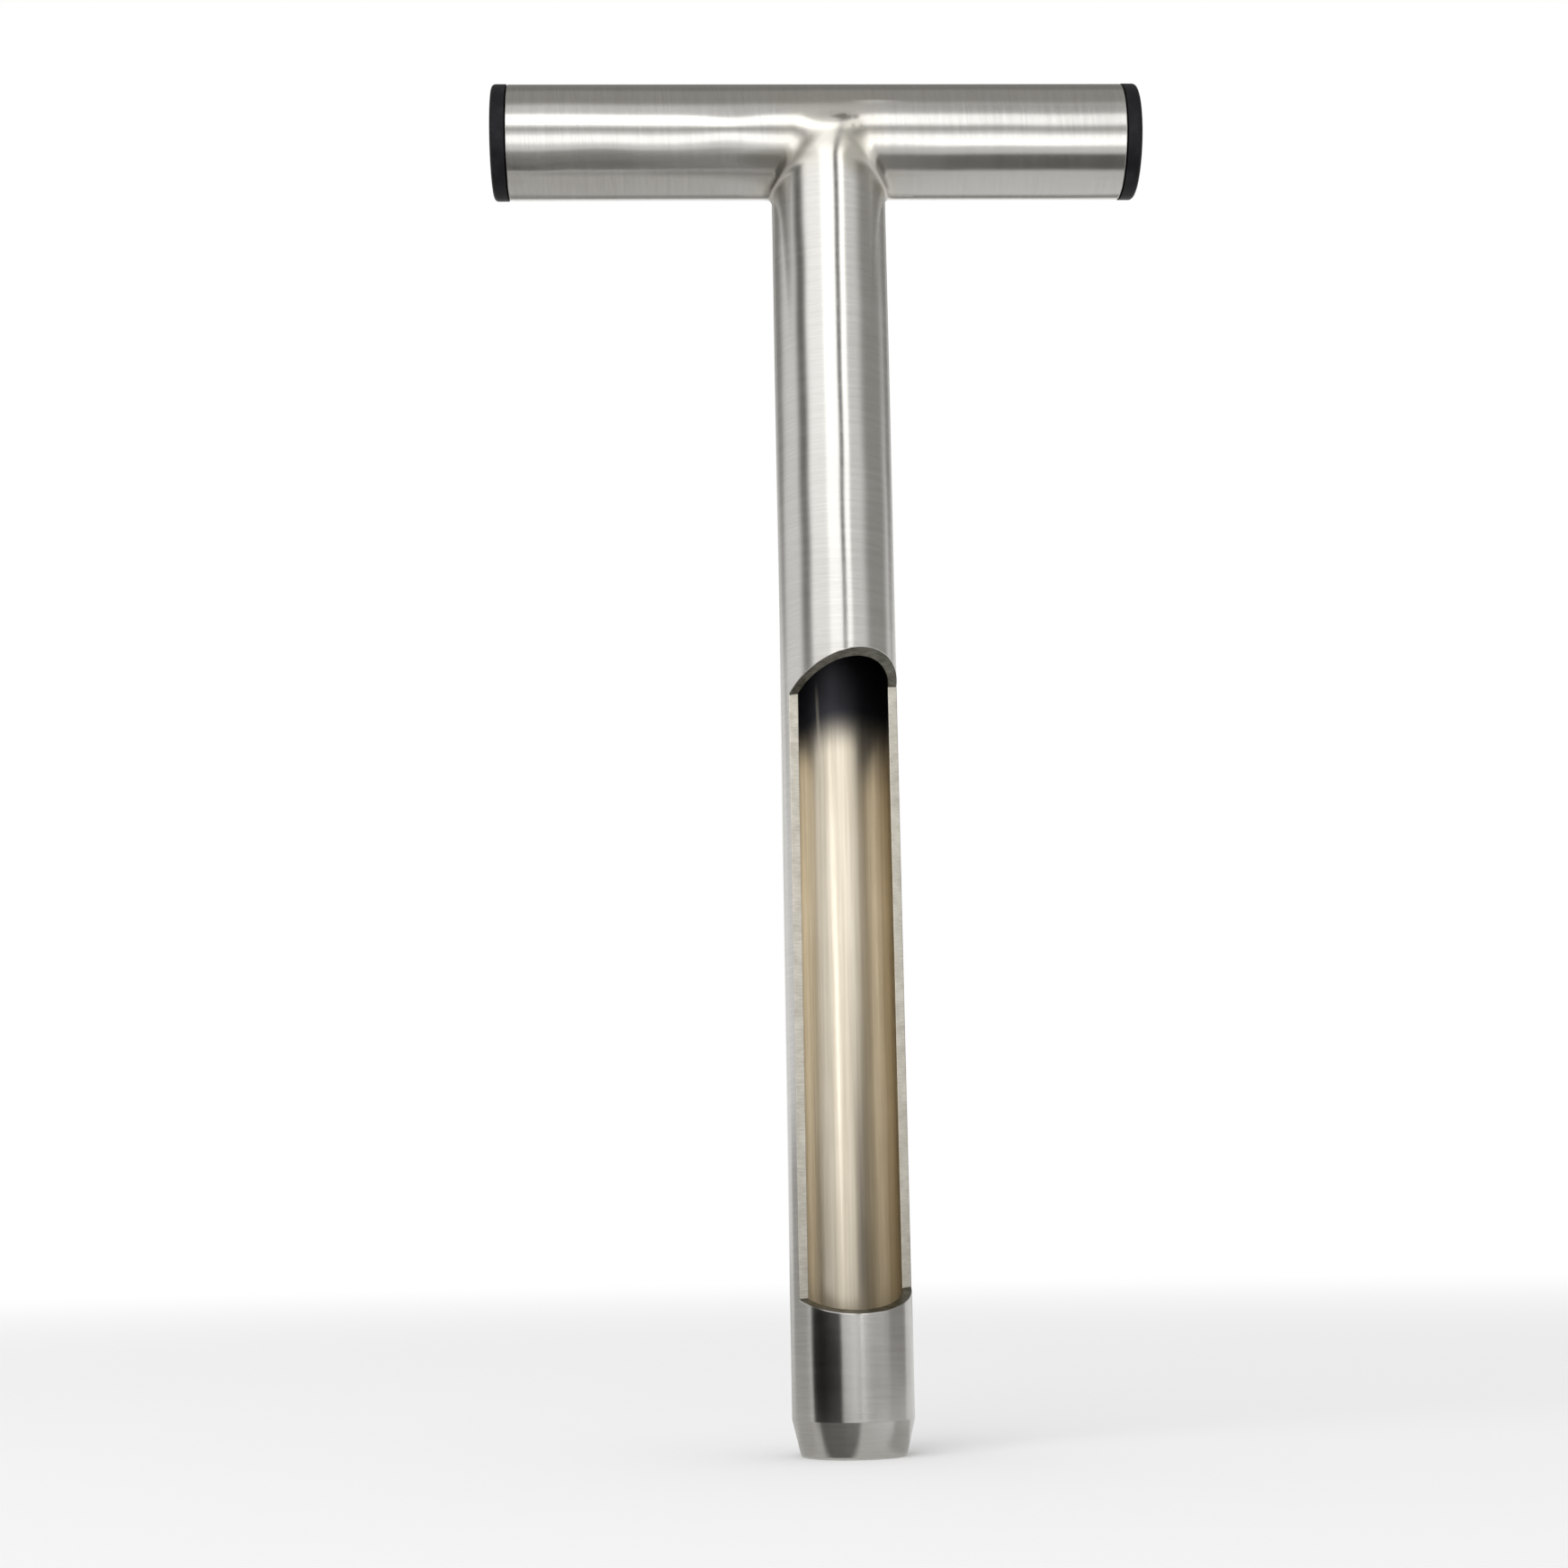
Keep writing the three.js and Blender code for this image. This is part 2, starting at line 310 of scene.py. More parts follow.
def polished_steel(name, *axes):
    """Stainless steel polished round a tube's axis. The weld takes the marks of both tubes."""
    finish = Finish(name)
    x, y, z = finish.parts()
    marks = [polishing(finish, axis) for axis in axes]
    hair, strokes, hatch = marks[0]
    if len(axes) == 2:
        off_tube, off_bar, over = off_tubes(finish)
        nearer_bar = (off_tube - off_bar).step(-seam_blend, seam_blend)
        on_bar = nearer_bar.most(over.step(-2 * seam_blend, seam_blend))
        hair, strokes, hatch = [
            on_tube * (1 - on_bar) + crosswise * on_bar for on_tube, crosswise in zip(*marks)
        ]
    swell = finish.even_noise(swell_grain, 1)
    cloud = finish.even_noise(cloud_grain, 3)
    grit = finish.even_noise(grit_grain, 3)
    ground = finish.noise(finish.stretched(ground_grain, ground_turn), 3, 0.6)
    near = weld_nearness(finish)
    grain = hair * (1 - near * ground_share) + ground * (near * ground_share)
    height = (
        (grain - 0.5) * hair_depth + (strokes - 0.5) * stroke_depth
        + (hatch - 0.5) * hatch_depth + (swell - 0.5) * swell_depth
    )
    if axes == (tube_axis,):
        scratches = finish.noise(finish.stretched(scratch_grain), 3, 0.6)
        height = height + (scratches - 0.5) * z.step(scratch_top, scratch_full) * scratch_depth
    if bar_axis in axes:
        for *place, rise in bar_swellings:
            swelling = spot(x, z, *place).hump() * (0 - y).step(0, swelling_front)
            height = height + swelling * (rise * mm)
    pits = patches(finish, weld_pits, (grit - 0.5) * pit_rag)
    # Painted shade: darker patches beside the weld, standing in for the dark reflections and shade there.
    painted_shades = patches(finish, weld_shade_patches, (cloud - 0.5) * shade_patch_rag)
    # Painted shade: a dark line in the corners where the upright meets the crossbar's underside.
    below = bar_height - z
    on_left = x.step(left_side, -left_side)
    off_corner = abs(abs(x) - below) + (cloud - 0.5) * mm
    corner_shade = off_corner.step(corner_shade_width + on_left * corner_shade_wider, 0)
    corner_shade = corner_shade * below.step(corner_shade_start, corner_shade_full)
    tone = (grain * 0.5 + strokes * 0.3 + cloud * 0.2).step(0.35, 0.65)
    tone = finish.blend(tone, dull_steel, bright_steel)
    tone = finish.blend(near * straw_share, tone, straw_steel)
    tone = finish.blend(painted_shades, tone, painted_shade_steel)
    # The pits and the painted corner shade share one dark colour.
    tone = finish.blend(pits.most(corner_shade * (corner_shade_share + on_left * corner_shade_darker)), tone, pit_and_shade_steel)
    uneven = (strokes - 0.5) * roughness_spread + (cloud - 0.5) * roughness_spread
    values = {
        "Base Color": tone,
        "Metallic": 1.0,
        "Anisotropic": 0.8,
        "Anisotropic Rotation": 0.0 if axes[0] == bar_axis else 0.25,
        "Roughness": steel_roughness + uneven + near * weld_roughness,
        "Normal": finish.relief(height),
    }
    if len(axes) == 2:
        return finish.surface(values, {"Anisotropic Rotation": 0.0}, on_bar)
    return finish.surface(values)


# The bore: draw marks, a straw tone, and painted shade, near black, at the window's upper end. The painted
# shade's lower edge bows up in its middle, and a thin slanting line through it is painted less dark.
draw_grain, draw_depth = (1500, 1500, 22), 0.004 * mm
stain_grain, stain_depth = (55, 55, 30), 0.03 * mm
bore_roughness, stain_roughness, painted_shade_roughness = 0.315, 0.06, 0.12
dull_bore, bright_bore = (0.60, 0.535, 0.425, 1), (0.74, 0.675, 0.56, 1)
painted_bore_shade, painted_shade_low, painted_shade_high = (0.055, 0.055, 0.064, 1), 148.6 * mm, 159.2 * mm
painted_shade_middle, painted_shade_bow, painted_shade_rag = 1.6 * mm, 48, 2.5 * mm
shade_gap_place, shade_gap_slant, shade_gap_share = Vector((-4.1 * mm, 0, 155 * mm)), 0.03, 0.30
shade_gap_core, shade_gap_rim, shade_gap_low, shade_gap_high = 0.05 * mm, 0.55 * mm, 160 * mm, 166 * mm


def bore_steel(name):
    """The tube's bore: drawn lengthwise, wiped round, stained by use, and painted dark with shade at the
    window's upper end.
    """
    finish = Finish(name)
    drawn = finish.noise(finish.stretched(draw_grain), 3, 0.6)
    stain = finish.noise(finish.stretched(stain_grain), 3)
    height = (drawn - 0.5) * draw_depth + (stain - 0.5) * stain_depth
    x, _, z = finish.parts()
    # Painted shade: the bore turns near black from just below the window's upper end upwards, where the wall
    # keeps the light out.
    sideways = x - painted_shade_middle
    painted_shade_edge = z + sideways * sideways * painted_shade_bow + (stain - 0.5) * painted_shade_rag
    off_shade_gap = abs(x - shade_gap_place.x + (z - shade_gap_place.z) * shade_gap_slant)
    shade_gap = off_shade_gap.step(shade_gap_rim, shade_gap_core) * z.step(shade_gap_high, shade_gap_low)
    painted_shade = painted_shade_edge.step(painted_shade_low, painted_shade_high) * (1 - shade_gap * shade_gap_share)
    tone = (drawn * 0.6 + stain * 0.4).step(0.35, 0.65)
    return finish.surface({
        "Base Color": finish.blend(painted_shade, finish.blend(tone, dull_bore, bright_bore), painted_bore_shade),
        "Metallic": 1.0,
        "Anisotropic": 0.5,
        "Anisotropic Rotation": 0.25,
        "Roughness": bore_roughness + (stain - 0.5) * stain_roughness + painted_shade * painted_shade_roughness,
        "Normal": finish.relief(height),
    })


# The milled faces: cutter steps along the tube, bright on the long edges, and painted dark with shade at the
# window's ends.
cutter_grain, cutter_depth = (600, 600, 4200), 0.006 * mm
smear_grain = 300
milled_roughness, smear_roughness = 0.36, 0.15
dull_edge, bright_edge = (0.44, 0.41, 0.35, 1), (0.62, 0.59, 0.52, 1)
# Painted shade: the window's end faces are coloured near black, as they lie in shade.
painted_end_shade_dull, painted_end_shade_bright = (0.085, 0.082, 0.066, 1), (0.20, 0.195, 0.165, 1)


def milled_steel(name, dull, bright):
    """The window's cut faces, between two tones: a dull, finely stepped cutter finish."""
    finish = Finish(name)
    steps = finish.noise(finish.stretched(cutter_grain), 2)
    smear = finish.even_noise(smear_grain, 2)
    return finish.surface({
        "Base Color": finish.blend((steps * 0.5 + smear * 0.5).step(0.3, 0.7), dull, bright),
        "Metallic": 1.0,
        "Roughness": milled_roughness + (smear - 0.5) * smear_roughness,
        "Normal": finish.relief((steps - 0.5) * cutter_depth),
    })


def choose(piece, kind, wanted):
    """Open a piece in edit mode with the vertices, edges or faces selected that are wanted."""
    modes = {"VERT": piece.data.vertices, "EDGE": piece.data.edges, "FACE": piece.data.polygons}
    bpy.context.view_layer.objects.active = piece
    bpy.context.tool_settings.mesh_select_mode = [kind == mode for mode in modes]
    for elements in modes.values():
        elements.foreach_set("select", [False] * len(elements))
    for element in modes[kind]:
        element.select = wanted(element)
    bpy.ops.object.mode_set(mode="EDIT")


def close():
    bpy.ops.object.mode_set(mode="OBJECT")


def cut(piece, cutter):
    """Take a cutter's volume out of a piece."""
    bpy.context.view_layer.objects.active = piece
    modifier = piece.modifiers.new("cut", "BOOLEAN")
    modifier.operation = "DIFFERENCE"
    modifier.solver = "EXACT"
    modifier.object = cutter
    bpy.ops.object.modifier_apply(modifier="cut")
    bpy.data.objects.remove(cutter)


def settle(piece, name, smooth_angle=10):
    """Name a finished piece, put its place in its mesh and smooth its round faces."""
    bpy.ops.object.select_all(action="DESELECT")
    piece.select_set(True)
    bpy.context.view_layer.objects.active = piece
    bpy.ops.object.transform_apply(location=True, rotation=True, scale=True)
    bpy.ops.object.shade_smooth_by_angle(angle=math.radians(smooth_angle))
    piece.name = name
    piece.data.name = name


def facing(angle):
    """A level direction, turned from the front towards +X."""
    return Vector((math.sin(angle), -math.cos(angle), 0))


bpy.ops.object.select_all(action="DESELECT")
# The window's middle lies on the middle of a facet, so that its long edges leave no slivers of facets.
half_facet = math.pi / tube_facets
bpy.ops.mesh.primitive_cylinder_add(
    vertices=tube_facets, radius=tube_radius, depth=bar_height, location=(0, 0, bar_height / 2),
    rotation=(0, 0, window_turn + half_facet))
probe = bpy.context.object
bpy.ops.object.transform_apply(location=True, rotation=True)

# The foot is drawn in to the bevel, both ends get a ring as wide as the metal there, and the bore joins
# the two rings.
choose(probe, "FACE", lambda face: True)
bpy.ops.mesh.bisect(plane_co=(0, 0, bevel_length), plane_no=(0, 0, 1))
close()
edge_share = (bore_radius + edge_land) / tube_radius
choose(probe, "VERT", lambda vertex: vertex.co.z < bevel_length / 2)
bpy.ops.transform.resize(value=(edge_share, edge_share, 1), center_override=(0, 0, 0))
close()
choose(probe, "FACE", lambda face: face.normal.z < -0.99)
bpy.ops.mesh.inset(thickness=edge_land)
close()
choose(probe, "FACE", lambda face: face.normal.z > 0.99)
bpy.ops.mesh.inset(thickness=tube_wall)
close()
choose(probe, "FACE", lambda face: len(face.vertices) == tube_facets)
bpy.ops.mesh.bridge_edge_loops()
close()

# The milling cutter's path: a block whose back lies on the flat, trimmed by the two slanted end planes.
bpy.ops.mesh.primitive_cube_add(size=1)
mill = bpy.context.object
mill_reach = tube_radius + overrun
mill.scale = (2 * mill_reach, mill_reach, bar_height)
mill.rotation_euler.z = window_turn
mill.location = facing(window_turn) * (window_flat + mill_reach / 2) + Vector((0, 0, bar_height / 2))
bpy.ops.object.transform_apply(location=True, rotation=True, scale=True)
for height, slope, twist, upward in (
    (window_top, window_top_slope, window_top_twist, 1),
    (window_bottom, window_bottom_slope, window_bottom_twist, -1),
):
    ahead = facing(window_turn + twist)
    plane_place = ahead * window_flat + Vector((0, 0, height))
    plane_normal = (Vector((0, 0, math.cos(slope))) - ahead * math.sin(slope)) * upward
    choose(mill, "FACE", lambda face: True)
    bpy.ops.mesh.bisect(plane_co=plane_place, plane_no=plane_normal, clear_outer=True, use_fill=True)
    close()
cut(probe, mill)

bpy.ops.mesh.primitive_cylinder_add(
    vertices=tube_facets, radius=bar_radius + cope_clearance, depth=4 * tube_radius,
    location=(0, 0, bar_height), rotation=(0, math.radians(90), 0))
cut(probe, bpy.context.object)

# Rings of points along the tube keep its reflections true beside the cuts. None crosses the window's ends.
for ring in range(2, int(bar_height / ring_spacing)):
    ring_height = ring * ring_spacing
    if min(abs(ring_height - window_bottom), abs(ring_height - window_top)) > ring_clearance:
        choose(probe, "FACE", lambda face: True)
        bpy.ops.mesh.bisect(plane_co=(0, 0, ring_height), plane_no=(0, 0, 1))
        close()

# The deburring would fold over where corner points stand closer than it is wide, so they are merged.
choose(probe, "VERT", lambda vertex: window_bottom - overrun < vertex.co.z < window_top + overrun)
bpy.ops.mesh.remove_doubles(threshold=shortest_edge)
close()


def on_window_edge(edge):
    """Whether an edge runs between one of the window's cut faces and the tube's own surface."""
    ends = [probe.data.vertices[index].co for index in edge.vertices]
    middle = (ends[0] + ends[1]) / 2
    if not window_bottom - overrun < middle.z < window_top + overrun:
        return False
    around = faces_round_edge[edge.key]
    return len(around) == 2 and around[0].angle(around[1]) > window_edge_angle


faces_round_edge = {}
for face in probe.data.polygons:
    for key in face.edge_keys:
        faces_round_edge.setdefault(key, []).append(face.normal.copy())
choose(probe, "EDGE", on_window_edge)
bpy.ops.mesh.bevel(offset=deburr, segments=2, affect="EDGES")
close()

probe.data.materials.append(polished_steel("polished_steel_upright", tube_axis))
probe.data.materials.append(bore_steel("bore_steel"))
probe.data.materials.append(milled_steel("milled_long_edges", dull_edge, bright_edge))
# The window's end faces get a copy of the milled finish with shade painted into its colour.
probe.data.materials.append(milled_steel("milled_window_ends_painted_shade", painted_end_shade_dull, painted_end_shade_bright))
# Faces are told apart by their distance from the axis and by how far their normals rise.
on_bore, on_long_edge, on_window_end = 1, 2, 3
closeness, bore_rise, long_edge_rise = 0.05 * mm, 0.05, 0.25
for face in probe.data.polygons:
    radius = Vector(face.center[:2]).length
    level_normal = Vector(face.normal[:2])
    towards_axis = level_normal.dot(Vector(face.center[:2])) < 0
    if towards_axis and radius < bore_radius + closeness and abs(face.normal.z) < bore_rise:
        face.material_index = on_bore
    elif radius < tube_radius - closeness and face.center.z > window_bottom - overrun:
        face.material_index = on_long_edge if abs(face.normal.z) < long_edge_rise else on_window_end
settle(probe, "probe_tube_polished")
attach(probe, "root")
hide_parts("probe_tube")


# Crossbar
# The same tube, cut square, its ends deburred. It is the handle, and lies across the head of the probe
# tube, where only the weld holds it. Its bore runs through from cap to cap.
bar_wall = 2 * mm
bar_length = bar_high[0] - bar_low[0]
bar_middle = Vector(((bar_high[0] + bar_low[0]) / 2, 0, bar_height))
end_deburr = 0.2 * mm

bpy.ops.object.select_all(action="DESELECT")
bpy.ops.mesh.primitive_cylinder_add(
    vertices=tube_facets, radius=bar_radius, depth=bar_length, location=bar_middle,
    rotation=(0, math.radians(90), 0))
crossbar = bpy.context.object
choose(crossbar, "FACE", lambda face: abs(face.normal.z) > 0.99)
bpy.ops.mesh.inset(thickness=bar_wall)
bpy.ops.mesh.bridge_edge_loops()
close()


def on_end_rim(edge):
    """The edges round the bore and round the outside at both ends."""
    first, second = [crossbar.data.vertices[index].co for index in edge.vertices]
    at_end = min(abs(first.z), abs(second.z)) > bar_length / 2 - end_deburr
    return at_end and abs(first.xy.length - second.xy.length) < end_deburr


choose(crossbar, "EDGE", on_end_rim)
bpy.ops.mesh.bevel(offset=end_deburr, segments=2, affect="EDGES")
close()
crossbar.data.materials.append(polished_steel("polished_steel_crossbar", bar_axis))
settle(crossbar, "handle_tube_polished")
# The texture space sets which way brushed steel spreads its light. This one keeps it along the crossbar.
crossbar.data.use_auto_texspace = False
crossbar.data.texspace_location = (0, 1, 0)
crossbar.data.texspace_size = (100, 1, 1)
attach(crossbar, "root")
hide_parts("handle_tube")


# Weld
# Both tubes are welded all round the saddle and the bead is ground down until it runs into them. It is
# wide and almost flush at the front and back, and a small fillet in the corners at the sides.
weld_columns = 300
weld_rows = 60
column_crowding = 0.35
weld_reach_front, weld_reach_side = 9.6 * mm, 6.4 * mm
weld_blend_front, weld_blend_side = 2.3 * mm, 2.2 * mm
weld_root = 0.6 * mm
weld_smooth_angle = 60
weld_skin, weld_rim, rim_start = 0.016 * mm, 0.006 * mm, 0.5
side_turn = 0.45
search_depth, search_reach, search_halvings = 6 * mm, 16 * mm, 30
tube_end_blend = 3.5 * mm
# Mounds left by the grinding: place in X, front or back, height over the crossbar's middle, and rise.
weld_mounds = ((3.0 * mm, -1, -1.4 * mm, 0.18 * mm), (-1.5 * mm, 1, -0.3 * mm, 0.18 * mm))
mound_width, mound_drop, mound_top, mound_front = 3.6 * mm, 3.8 * mm, 2.8 * mm, 6 * mm


def smooth_share(value, low, high):
    share = min(1, max(0, (value - low) / (high - low)))
    return share * share * (3 - 2 * share)


def softly_least(first, second, softness):
    mixing = max(softness - abs(first - second), 0) / softness
    return min(first, second) - mixing * mixing * softness / 4


def weld_depth(point, softness):
    """Distance outside the two tubes, with their meeting corner filled softly."""
    off_tube = math.hypot(point.x, point.y) - tube_radius
    above = point.z - bar_height
    off_tube = -softly_least(-off_tube, -above, tube_end_blend)
    off_bar = math.hypot(point.y, above) - bar_radius
    depth = softly_least(off_tube, off_bar, softness)
    for place, side, height, rise in weld_mounds:
        if point.y * side < 0:
            continue
        beside = (point.x - place) / mound_width
        over = (above - height) / (mound_top if above > height else mound_drop)
        fade = smooth_share(abs(point.y), 0, mound_front)
        depth -= rise * math.exp(-beside * beside - over * over) * fade
    return depth


def weld_point(angle, share):
    """A point of the ground bead: at an angle round the tube from its front, and -1 to 1 across the seam."""
    side = 1 if angle >= 0 else -1
    sidewards = abs(math.sin(angle))
    across = share * (weld_reach_front + (weld_reach_side - weld_reach_front) * sidewards)
    seam = Vector((
        tube_radius * math.sin(angle),
        -tube_radius * math.cos(angle),
        bar_height - tube_radius * sidewards,
    ))
    off_bar_axis = Vector((0, seam.y, seam.z - bar_height))
    outward = Vector((seam.x, seam.y, 0)).normalized() + off_bar_axis.normalized()
    outward.normalize()
    turned = math.radians(90) * smooth_share(sidewards, 0, side_turn) if share > 0 else 0
    over_seam = Vector((side * math.sin(turned), 0, math.cos(turned)))
    start = seam + over_seam * across - outward * search_depth
    softness = weld_blend_front + (weld_blend_side - weld_blend_front) * sidewards
    low, high = 0.0, search_reach
    for _ in range(search_halvings):
        middle = (low + high) / 2
        if weld_depth(start + outward * middle, softness) < 0:
            low = middle
        else:
            high = middle
    edge_tuck = smooth_share(abs(share), rim_start, 1) * (weld_skin - weld_rim)
    return start + outward * (low + weld_skin - edge_tuck)


weld_points = []
weld_faces = []
for column in range(weld_columns):
    angle = -math.pi + 2 * math.pi * column / weld_columns
    angle -= column_crowding * math.sin(2 * angle)
    for row in range(weld_rows + 1):
        weld_points.append(weld_point(angle, 2 * row / weld_rows - 1))
for column in range(weld_columns):
    this_column = column * (weld_rows + 1)
    next_column = (column + 1) % weld_columns * (weld_rows + 1)
    for row in range(weld_rows):
        here, beyond = this_column + row, next_column + row
        weld_faces.append((here, beyond, beyond + 1, here + 1))
weld_mesh = bpy.data.meshes.new("weld")
weld_mesh.from_pydata(weld_points, [], weld_faces)
weld = bpy.data.objects.new("weld", weld_mesh)
bpy.context.collection.objects.link(weld)
bpy.context.view_layer.objects.active = weld
wall = weld.modifiers.new("root", "SOLIDIFY")
wall.thickness = weld_root
wall.offset = -1
bpy.ops.object.modifier_apply(modifier="root")
# As on the crossbar, this sets which way the brushed steel spreads its light.
weld.data.use_auto_texspace = False
weld.data.texspace_location = (0, 0, 0)
weld.data.texspace_size = (50, 1, 1)
weld.data.materials.append(polished_steel("ground_weld_steel", tube_axis, bar_axis))
settle(weld, "weld_bead_ground", weld_smooth_angle)
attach(weld, "root")
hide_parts("weld_bead")


# End caps
# Moulded black polyethylene plugs, pushed in until their round-edged heads meet the tube. The ribbed hollow
# shank grips the bore.
cap_radius = bar_radius + 0.1 * mm
cap_head = 3.2 * mm
cap_edge = 0.9 * mm
cap_facets = 128
cap_smooth_angle = 35
shank_radius = bar_radius - bar_wall - 0.7 * mm
shank_length = 12 * mm
shank_wall = 1.6 * mm
rib_radius = bar_radius - bar_wall - 0.15 * mm
rib_width = 1.2 * mm
rib_count = 3
pebble_grain, pebble_depth = 2600, 0.012 * mm
rubbed_grain = 240
moulded_black, rubbed_black = (0.0085, 0.0085, 0.0105, 1), (0.017, 0.017, 0.020, 1)
plastic_roughness, rubbed_roughness, plastic_shine = 0.46, 0.2, 0.13


def black_plastic(name):
    """Moulded polyethylene: a faintly pebbled black with rubbed spots."""
    finish = Finish(name)
    pebble = finish.even_noise(pebble_grain, 2)
    rubbed = finish.even_noise(rubbed_grain, 3)
    return finish.surface({
        "Base Color": finish.blend(rubbed.step(0.45, 0.75), moulded_black, rubbed_black),
        "Roughness": plastic_roughness + (rubbed - 0.5) * rubbed_roughness,
        "Specular IOR Level": plastic_shine,
        "Normal": finish.relief((pebble - 0.5) * pebble_depth),
    })


bpy.ops.object.select_all(action="DESELECT")
bpy.ops.mesh.primitive_cylinder_add(
    vertices=cap_facets, radius=cap_radius, depth=cap_head, location=(0, 0, cap_head / 2))
cap = bpy.context.object
bpy.ops.object.transform_apply(location=True)
choose(cap, "FACE", lambda face: face.normal.z > 0.99)
bpy.ops.mesh.inset(thickness=cap_radius - shank_radius)
shank_profile = [(shank_length, shank_radius)]
for rib in range(rib_count, 0, -1):
    middle = rib * shank_length / (rib_count + 1)
    shank_profile = [
        (middle - rib_width / 2, shank_radius), (middle - rib_width / 4, rib_radius),
        (middle + rib_width / 2, shank_radius)] + shank_profile
# An inset of no width raises the face as an extrude does, and lists its faces in the same order each run.
reached, widened = 0, shank_radius
for height, radius in shank_profile:
    bpy.ops.mesh.inset(thickness=0, depth=height - reached)
    bpy.ops.transform.resize(value=(radius / widened, radius / widened, 1), center_override=(0, 0, 0))
    reached, widened = height, radius
bpy.ops.mesh.inset(thickness=shank_wall)
bpy.ops.mesh.inset(thickness=0, depth=-shank_length)
close()
choose(cap, "EDGE", lambda edge: all(cap.data.vertices[index].co.z < cap_edge / 2 for index in edge.vertices))
bpy.ops.mesh.bevel(offset=cap_edge, segments=6, affect="EDGES")
close()
cap.data.materials.append(black_plastic("black_polyethylene"))
settle(cap, "cap_pattern", cap_smooth_angle)

for name, node, end, turn in (
    ("cap_left_moulded", "end_cap_left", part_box("end_cap_left")[0][0], 90),
    ("cap_right_moulded", "end_cap_right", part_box("end_cap_right")[1][0], -90),
):
    pushed_in = bpy.data.objects.new(name, cap.data.copy())
    bpy.context.collection.objects.link(pushed_in)
    pushed_in.rotation_euler.y = math.radians(turn)
    pushed_in.location = (end, 0, bar_height)
    settle(pushed_in, name, cap_smooth_angle)
    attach(pushed_in, "root")
    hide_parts(node)
bpy.data.objects.remove(cap)


# Studio
# A pale floor that fades into white, soft boxes before the tool and dark cards beside it, all out of sight,
# which give the polished steel its bright and dark bands. Cards close to the foot aim at the foot.
aim = Vector((0, 0, 220 * mm))
foot_aim = Vector((0, 0, 20 * mm))
foot_reach = 1
wall_distance = 2.6
card_green_loss, card_blue_loss = 0.03, 0.10
floor_tone, floor_fade_start, floor_fade_end = (0.90, 0.90, 0.90, 1), 0.25, 1.5


def toward(azimuth, elevation):
    """A direction from the tool: azimuth from the front towards +X, elevation from level, in degrees."""
    tilt = math.radians(elevation)
    return facing(math.radians(azimuth)) * math.cos(tilt) + Vector((0, 0, math.sin(tilt)))


def board(name, place, across, up, width, height, brightness, soft=0.12):
    """A glowing or dark board with soft edges, which only the steel sees."""
    bpy.ops.object.select_all(action="DESELECT")
    bpy.ops.mesh.primitive_plane_add(size=1)
    made = bpy.context.object
    made.name = name
    turn = Matrix((across, up, across.cross(up))).transposed().to_4x4()
    made.matrix_world = Matrix.Translation(place) @ turn @ Matrix.Diagonal((width, height, 1, 1))
    made.visible_camera = False
    made.visible_diffuse = False
    made.visible_shadow = False
    finish = Finish(name)
    x, y, _ = finish.parts()
    inside = (0.5 - abs(x)).step(0, soft) * (0.5 - abs(y)).step(0, soft)
    clear = finish.node("ShaderNodeBsdfTransparent", {}, {})
    warm = max(0, 1 - brightness)
    green, blue = brightness * (1 - card_green_loss * warm), brightness * (1 - card_blue_loss * warm)
    glow = finish.node("ShaderNodeEmission", {}, {"Color": (brightness, green, blue, 1)})
    faded = finish.node("ShaderNodeMixShader", {}, {0: inside, 1: clear, 2: glow})
    finish.node("ShaderNodeOutputMaterial", {}, {"Surface": faded})
    made.data.materials.append(finish.holder)


def standing_board(name, azimuths, elevations, brightness, soft=0.12, distance=wall_distance):
    """A board between two azimuths and two elevations as the tool sees them."""
    azimuth, elevation = sum(azimuths) / 2, sum(elevations) / 2
    out = toward(azimuth, elevation)
    across = facing(math.radians(azimuth + 90))
    width = 2 * distance * math.tan(math.radians(azimuths[1] - azimuths[0]) / 2)
    height = 2 * distance * math.tan(math.radians(elevations[1] - elevations[0]) / 2)
    start = aim if distance > foot_reach else foot_aim
    board(name, start + out * distance, across, out.cross(across), width, height, brightness, soft)


def lying_board(name, sides, ends, height, brightness, soft=0.12, turn=0):
    """A board just over the floor, between two places in X and two in Y, then turned on its middle."""
    middle = Vector((sum(sides) / 2, sum(ends) / 2, height))
    across = facing(math.radians(90 + turn))
    up = facing(math.radians(180 + turn))
    board(name, middle, across, up, sides[1] - sides[0], ends[1] - ends[0], brightness, soft)


# Standing boards: azimuths and elevations in degrees, brightness, soft edge as a share, distance in metres.
# Lying boards: places in X and in Y and a height in metres, brightness, soft edge, and a turn in degrees.
# Those over one patch of floor lie at different heights, and where they overlap the highest one shows.
standing_board("front_box", (-58, 12), (11, 38), 1.75)
standing_board("front_box_core", (-20, 10), (10, 36), 2.7, 0.2, 2.5)
standing_board("right_strip", (16, 29), (9, 38), 2.7, 0.2, 2.5)
standing_board("front_gap", (-60, 60), (-1, 9), 0.50, 0.3, 2.4)
standing_board("seam_card", (8, 18), (-2, 62), 0.0, 0.2, 2.4)
standing_board("bore_strip", (12.5, 18), (9, 28), 6.2, 0.2, 0.35)
standing_board("left_card", (-84, -48), (-10, 60), 0.10, 0.45, 2.2)
standing_board("right_card", (50, 122), (-10, 60), 0.38, 0.3, 2.2)
standing_board("top_card", (-60, 60), (52, 108), 0.42, 0.25, 2.0)
standing_board("rear_top_card", (-60, 60), (90, 168), 0.28, 0.15, 2.05)
standing_board("rear_box", (155, 205), (5, 50), 1.7, 0.3)
standing_board("rear_left_card", (-166, -148), (-10, 70), 0.60, 0.4, 2.2)
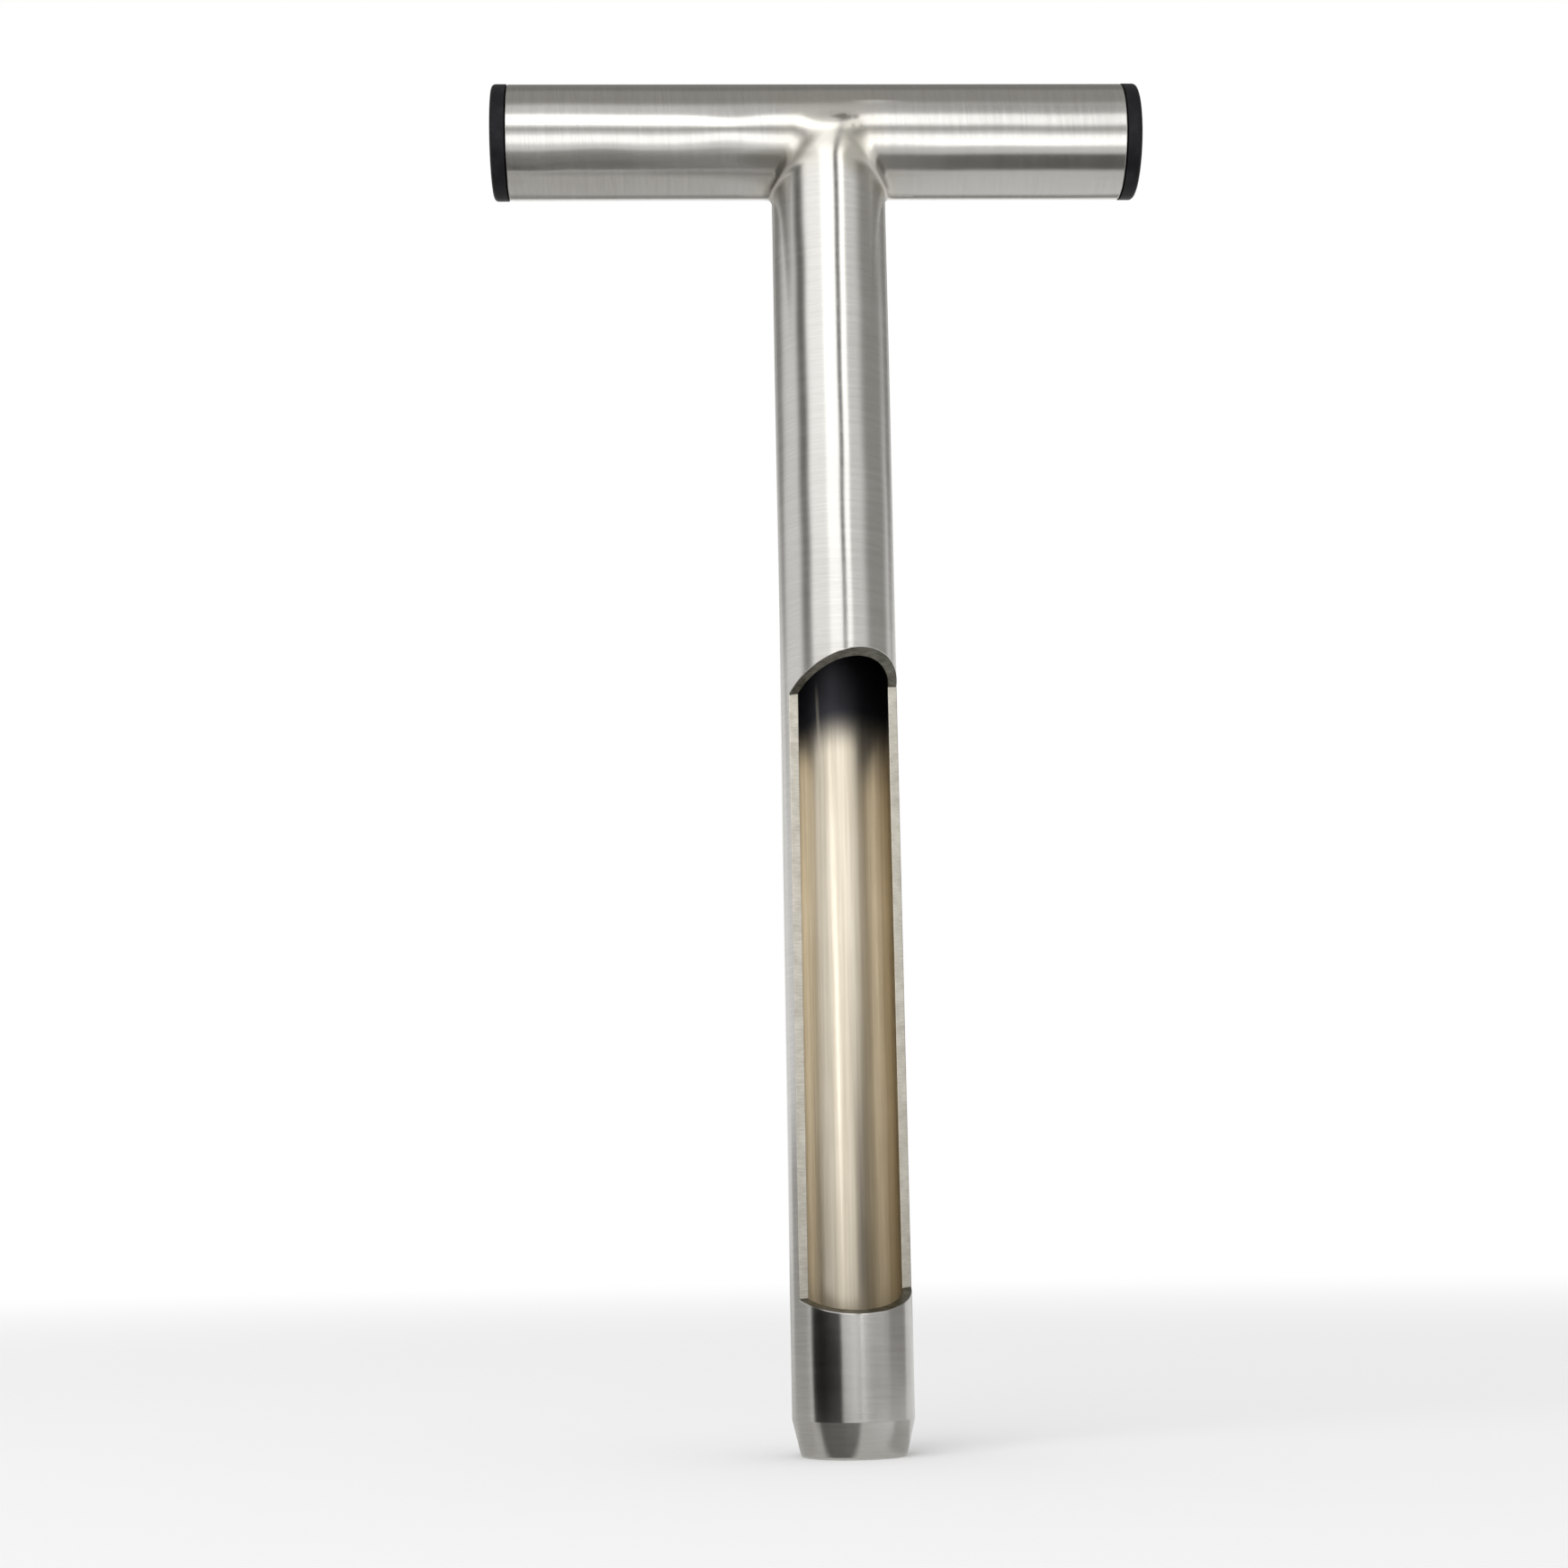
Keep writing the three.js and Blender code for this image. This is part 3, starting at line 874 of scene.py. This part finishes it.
standing_board("rear_right_card", (146, 160), (-10, 70), 0.72, 0.4, 2.2)
lying_board("floor_box", (-0.9, 0.9), (-2.1, -0.50), 2 * mm, 1.95, 0.15)
lying_board("left_floor_card", (-0.60, 0.03), (-0.40, -0.06), 1 * mm, 0.26, 0.15)
lying_board("right_floor_card", (-0.03, 0.60), (-0.29, -0.030), 1.5 * mm, 0.10, 0.15)
lying_board("left_under_card", (-0.60, 0.03), (-0.085, 0.9), 0.3 * mm, 0.60, 0.05)
lying_board("left_corner_card", (-0.62, -0.14), (-0.30, 0.30), 2.5 * mm, 0.16, 0.25)
lying_board("right_corner_card", (0.14, 0.62), (-0.30, 0.30), 2.5 * mm, 0.42, 0.25)
lying_board("rear_floor_card", (-0.7, 0.7), (0.45, 2.6), 3 * mm, 0.36, 0.10)
standing_board("tip_left_card", (-77, -20), (-20, 24), 0.0, 0.10, 0.14)
standing_board("tip_near_card", (-77, -20), (-22, 26), 0.0, 0.10, 0.05)
standing_board("tip_right_card", (63, 116), (-20, 24), 0.30, 0.2, 0.14)
standing_board("tip_outer_card", (-140, -84), (-20, 24), 0.45, 0.2, 0.14)
lying_board("tip_floor_card", (-0.14, 0.012), (-0.112, -0.066), 1.2 * mm, 0.20, 0.3)
lying_board("corner_floor_card", (-0.056, 0.0), (-0.084, -0.030), 1.0 * mm, 0.16, 0.3)
lying_board("tip_floor_left_card", (-0.050, -0.020), (-0.036, -0.012), 1.1 * mm, 0.10, 0.1)
lying_board("bevel_card", (-0.0246, 0.0034), (-0.0382, -0.0102), 0.5 * mm, 0.16, 0.08, 15.5)
lying_board("bevel_right_card", (0.008, 0.034), (-0.013, 0.014), 0.5 * mm, 0.45, 0.15)
lying_board("bevel_left_card", (-0.034, -0.008), (-0.0095, 0.014), 0.4 * mm, 0.50, 0.15)

# One broad lamp over the camera's left shoulder, which draws the tool's soft shadow on the floor.
key = bpy.data.lights.new("key_lamp", "AREA")
key.size = 1.2
key.energy = 9
key_place = bpy.data.objects.new("key_lamp", key)
key_place.location = toward(-35, 52) * 1.8
key_place.rotation_euler = (-key_place.location).to_track_quat("-Z", "Y").to_euler()
key_place.visible_glossy = False
bpy.context.collection.objects.link(key_place)

bpy.ops.object.select_all(action="DESELECT")
bpy.ops.mesh.primitive_plane_add(size=30)
floor = bpy.context.object
floor.name = "floor"
finish = Finish("pale_floor")
x, y, _ = finish.parts()
fade = (x * x + y * y).root().step(floor_fade_start, floor_fade_end)
paper = finish.node("ShaderNodeBsdfDiffuse", {}, {"Color": floor_tone})
white = finish.node("ShaderNodeEmission", {}, {"Strength": 1.0})
floor_surface = finish.node("ShaderNodeMixShader", {}, {0: fade, 1: paper, 2: white})
finish.node("ShaderNodeOutputMaterial", {}, {"Surface": floor_surface})
floor.data.materials.append(finish.holder)

# White to the camera, to glossy and to transmitted rays, which are these outputs of Light Path, and a little
# less as light on the tool.
camera_ray, glossy_ray, transmission_ray = 0, 3, 6
daylight_strength = 0.80
daylight = Finish("surroundings", bpy.data.worlds)
bpy.context.scene.world = daylight.holder
seen = daylight.node("ShaderNodeLightPath", {}, {}, camera_ray)
for ray in (glossy_ray, transmission_ray):
    seen = seen.most(daylight.node("ShaderNodeLightPath", {}, {}, ray))
strength = daylight_strength + seen * (1 - daylight_strength)
sky = daylight.node("ShaderNodeBackground", {}, {"Color": (1, 1, 1, 1), "Strength": strength})
daylight.node("ShaderNodeOutputWorld", {}, {"Surface": sky})
